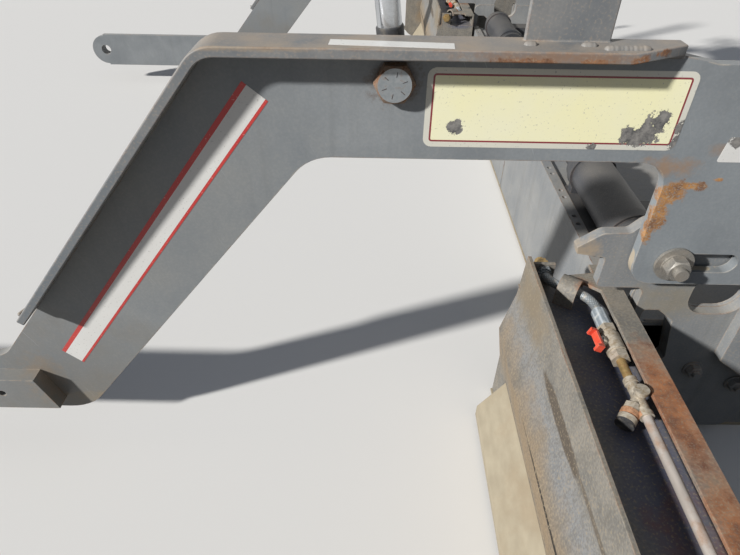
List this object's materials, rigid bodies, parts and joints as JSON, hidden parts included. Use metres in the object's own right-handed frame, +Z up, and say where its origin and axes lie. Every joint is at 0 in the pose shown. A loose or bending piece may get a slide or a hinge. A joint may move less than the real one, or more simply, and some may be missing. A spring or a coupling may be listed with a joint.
{
  "type": "asphalt paver screed unit with tow arms",
  "caption": "Paver's floating screed: heated main screed, sliding extensions with end gates, gooseneck tow arms, lift cylinders and depth screws.",
  "frame": {"origin": "on the ground, at the middle of the unit's width and midway between the tow eyes' front and the walkway's rear edge", "axes": "+X is the paving direction, towards the tractor; +Y is the machine's left side; +Z is up"},
  "size_m": [3.0098, 4.528, 1.627],
  "materials": {
    "frame_paint": "satin dark grey enamel, rubbed and rusty at edges",
    "gate_paint": "grey enamel worn by asphalt",
    "worn_steel": "bare steel polished by wear",
    "rod_chrome": "hard chrome",
    "gas_brass": "dull nickelled brass",
    "pipe_zinc": "galvanised pipe, dull",
    "black_paint": "satin black enamel",
    "hose_rubber": "braided rubber hose"
  },
  "bodies": {
    "main_screed": {"main_frame_left": "frame_paint", "main_frame_right": "frame_paint", "main_sole_left": "worn_steel", "main_sole_right": "worn_steel", "guide_sleeves_left": "frame_paint", "guide_sleeves_right": "frame_paint", "hanger_left": "frame_paint", "hanger_right": "frame_paint", "hanger_pad_left": "frame_paint", "hanger_pad_right": "frame_paint", "pivot_bolt_left": "worn_steel", "pivot_bolt_right": "worn_steel", "depth_nut_left": "frame_paint", "depth_nut_right": "frame_paint", "ext_cylinder_left": "black_paint", "ext_cylinder_right": "black_paint", "crown_turnbuckle": "worn_steel", "vibrator_left": "black_paint", "vibrator_right": "black_paint", "walkway_left": "black_paint", "walkway_right": "black_paint", "control_box_left": "frame_paint", "control_box_right": "frame_paint"},
    "extension_left": {"ext_frame_left": "gate_paint", "ext_toe_left": "worn_steel", "ext_sole_left": "worn_steel", "ext_guides_left": "worn_steel", "ext_rod_left": "rod_chrome", "gas_line_left": "pipe_zinc", "gas_valve_left": "gas_brass", "gas_hose_left": "hose_rubber", "gate_jacks_left": "worn_steel"},
    "end_gate_left": {"gate_left": "gate_paint"},
    "tow_arm_left": {"arm_left": "frame_paint", "arm_flange_left": "frame_paint", "lift_bolt_left": "worn_steel", "depth_trunnion_left": "frame_paint", "tow_bar_left": "frame_paint"},
    "depth_screw_left": {"depth_screw_left": "worn_steel"},
    "lift_rod_left": {"lift_rod_left": "rod_chrome"},
    "lift_barrel_left": {"lift_barrel_left": "black_paint"},
    "extension_right": {"ext_frame_right": "gate_paint", "ext_toe_right": "worn_steel", "ext_sole_right": "worn_steel", "ext_guides_right": "worn_steel", "ext_rod_right": "rod_chrome", "gas_line_right": "pipe_zinc", "gas_valve_right": "gas_brass", "gas_hose_right": "hose_rubber", "gate_jacks_right": "worn_steel"},
    "end_gate_right": {"gate_right": "gate_paint"},
    "tow_arm_right": {"arm_right": "frame_paint", "arm_flange_right": "frame_paint", "lift_bolt_right": "worn_steel", "depth_trunnion_right": "frame_paint", "tow_bar_right": "frame_paint"},
    "depth_screw_right": {"depth_screw_right": "worn_steel"},
    "lift_rod_right": {"lift_rod_right": "rod_chrome"},
    "lift_barrel_right": {"lift_barrel_right": "black_paint"}
  },
  "joints": [
    {"name": "extension_slide_left", "type": "slide", "parent": "main_screed", "child": "extension_left", "axis": [0, 1, 0], "range_m": [-0.84, 0]},
    {"name": "end_gate_lift_left", "type": "slide", "parent": "extension_left", "child": "end_gate_left", "axis": [0, 0, 1], "range_m": [0, 0.1]},
    {"name": "tow_arm_tilt_left", "type": "hinge", "parent": "main_screed", "child": "tow_arm_left", "pos_m": [-0.715, 1.259, 0.554], "axis": [0, 1, 0], "range_deg": [-3, 1.5]},
    {"name": "depth_screw_turn_left", "type": "hinge", "parent": "tow_arm_left", "child": "depth_screw_left", "pos_m": [-1.053, 1.259, 0.8], "axis": [0, 0, 1], "continuous": true},
    {"name": "lift_swing_left", "type": "hinge", "parent": "tow_arm_left", "child": "lift_rod_left", "pos_m": [-0.173, 1.218, 0.889], "axis": [0, 1, 0], "range_deg": [-14, 8]},
    {"name": "lift_stroke_left", "type": "slide", "parent": "lift_rod_left", "child": "lift_barrel_left", "axis": [0.1305, 0, 0.9914], "range_m": [-0.15, 0.1]},
    {"name": "extension_slide_right", "type": "slide", "parent": "main_screed", "child": "extension_right", "axis": [0, -1, 0], "range_m": [-0.84, 0]},
    {"name": "end_gate_lift_right", "type": "slide", "parent": "extension_right", "child": "end_gate_right", "axis": [0, 0, 1], "range_m": [0, 0.1]},
    {"name": "tow_arm_tilt_right", "type": "hinge", "parent": "main_screed", "child": "tow_arm_right", "pos_m": [-0.715, -1.259, 0.554], "axis": [0, 1, 0], "range_deg": [-3, 1.5]},
    {"name": "depth_screw_turn_right", "type": "hinge", "parent": "tow_arm_right", "child": "depth_screw_right", "pos_m": [-1.053, -1.259, 0.8], "axis": [0, 0, 1], "continuous": true},
    {"name": "lift_swing_right", "type": "hinge", "parent": "tow_arm_right", "child": "lift_rod_right", "pos_m": [-0.173, -1.218, 0.889], "axis": [0, 1, 0], "range_deg": [-14, 8]},
    {"name": "lift_stroke_right", "type": "slide", "parent": "lift_rod_right", "child": "lift_barrel_right", "axis": [0.1305, 0, 0.9914], "range_m": [-0.15, 0.1]}
  ]
}
